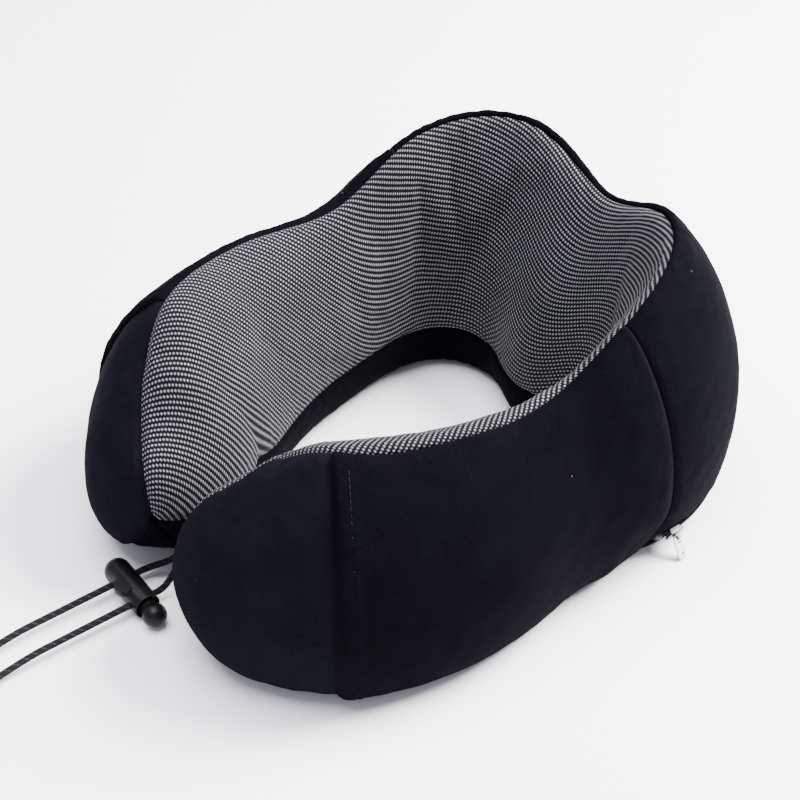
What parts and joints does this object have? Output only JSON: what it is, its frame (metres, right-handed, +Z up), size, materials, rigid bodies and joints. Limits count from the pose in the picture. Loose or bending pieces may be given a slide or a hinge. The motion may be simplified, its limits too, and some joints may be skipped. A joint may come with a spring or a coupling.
{
  "type": "u shaped neck pillow",
  "caption": "U shaped foam neck pillow with a zipped fabric cover, knit neck side, side pockets and a drawcord with a cord lock.",
  "frame": {"origin": "on the flat underside in the middle of the back, on the middle plane of the pillow", "axes": "+Z up, the pillow lying on its flat underside; -Y towards the open front and the tips; X across the pillow"},
  "size_m": [0.2414, 0.3873, 0.1414],
  "materials": {
    "foam": "slow-recovery moulded foam, matte, off-white",
    "knit": "black breathable knit with a staggered light grey dot in each cell",
    "velour": "short-pile velour, blue-black, soft sheen",
    "zip_tape": "woven black zip tape",
    "zip_coil": "black nylon coil",
    "zip_metal": "bright nickel plate",
    "lock_plastic": "fine-grained moulded black plastic",
    "spring_steel": "drawn spring wire",
    "cord": "round braided black cord with grey flecks"
  },
  "bodies": {
    "pillow": {"foam_core": "foam", "neck_panel": "knit", "inner_wall_panel": "velour", "back_panel": "velour", "back_lower_strip": "velour", "side_panel_left": "velour", "side_panel_right": "velour", "pocket_left": "velour", "pocket_right": "velour", "base_panel": "velour", "tip_underside_left": "velour", "tip_underside_right": "velour", "zipper_tape_lower": "zip_tape", "zipper_tape_upper": "zip_tape", "zipper_coil_lower": "zip_coil", "zipper_coil_upper": "zip_coil", "zipper_stop_closed": "zip_metal", "zipper_stop_open": "zip_metal", "drawcord": "cord"},
    "slider": {"zipper_slider": "zip_metal"},
    "pull": {"zipper_pull": "zip_metal"},
    "lock": {"cord_lock_body": "lock_plastic", "cord_lock_spring": "spring_steel"},
    "plunger": {"cord_lock_plunger": "lock_plastic"}
  },
  "joints": [
    {"name": "zip_travel", "type": "hinge", "parent": "pillow", "child": "slider", "pos_m": [0.041, -0.028, 0.012], "axis": [0, 0, 1], "range_deg": [0, 100]},
    {"name": "pull_swing", "type": "hinge", "parent": "slider", "child": "pull", "pos_m": [0.11136, -0.02616, 0.01063], "axis": [0.0262, -0.9997, 0], "range_deg": [0, 105]},
    {"name": "lock_slide", "type": "slide", "parent": "pillow", "child": "lock", "axis": [0, -1, 0], "range_m": [0, 0.036]},
    {"name": "button_press", "type": "slide", "parent": "lock", "child": "plunger", "axis": [-1, 0, 0], "range_m": [0, 0.0025], "stiffness_N_per_m": 900, "deforming": ["cord_lock_spring"]}
  ]
}
